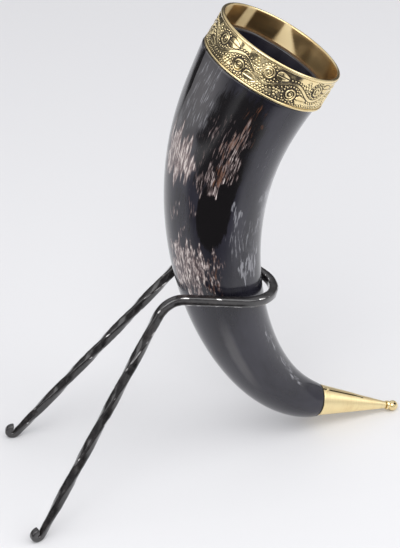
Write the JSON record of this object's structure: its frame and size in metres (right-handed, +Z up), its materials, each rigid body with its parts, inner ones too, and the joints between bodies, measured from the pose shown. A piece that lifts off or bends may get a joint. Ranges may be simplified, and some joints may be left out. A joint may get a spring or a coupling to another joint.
{
  "type": "drinking horn",
  "caption": "Curved horn cup with a brass rim band and a brass tip with a knob, held upright by a forged iron fork whose twisted legs end in curled feet.",
  "frame": {"origin": "on the floor, at the middle of the object's outline seen from above", "axes": "+Z up; +X from the stand's feet towards the horn's tip; the horn curves in a plane along X and Z"},
  "size_m": [0.2558, 0.1042, 0.3051],
  "materials": {
    "polished_horn": "polished dark horn with pale streaks",
    "bright_brass": "polished",
    "embossed_brass": "embossed, dark in the recesses",
    "brown_cement": "matt",
    "black_iron": "waxed, forged"
  },
  "bodies": {
    "stand": {"stand_bar": "black_iron"},
    "horn": {"horn_shell": "polished_horn", "rim_sleeve": "bright_brass", "rim_strip": "embossed_brass", "rim_hem": "bright_brass", "rim_bedding": "brown_cement", "tip_cone": "bright_brass", "tip_bedding": "brown_cement", "tip_pin": "bright_brass", "tip_finial": "bright_brass"}
  },
  "joints": [
    {"name": "horn_draw_out", "type": "slide", "parent": "stand", "child": "horn", "axis": [-0.9715, 0, 0.2368], "range_m": [0, 0.085]}
  ]
}
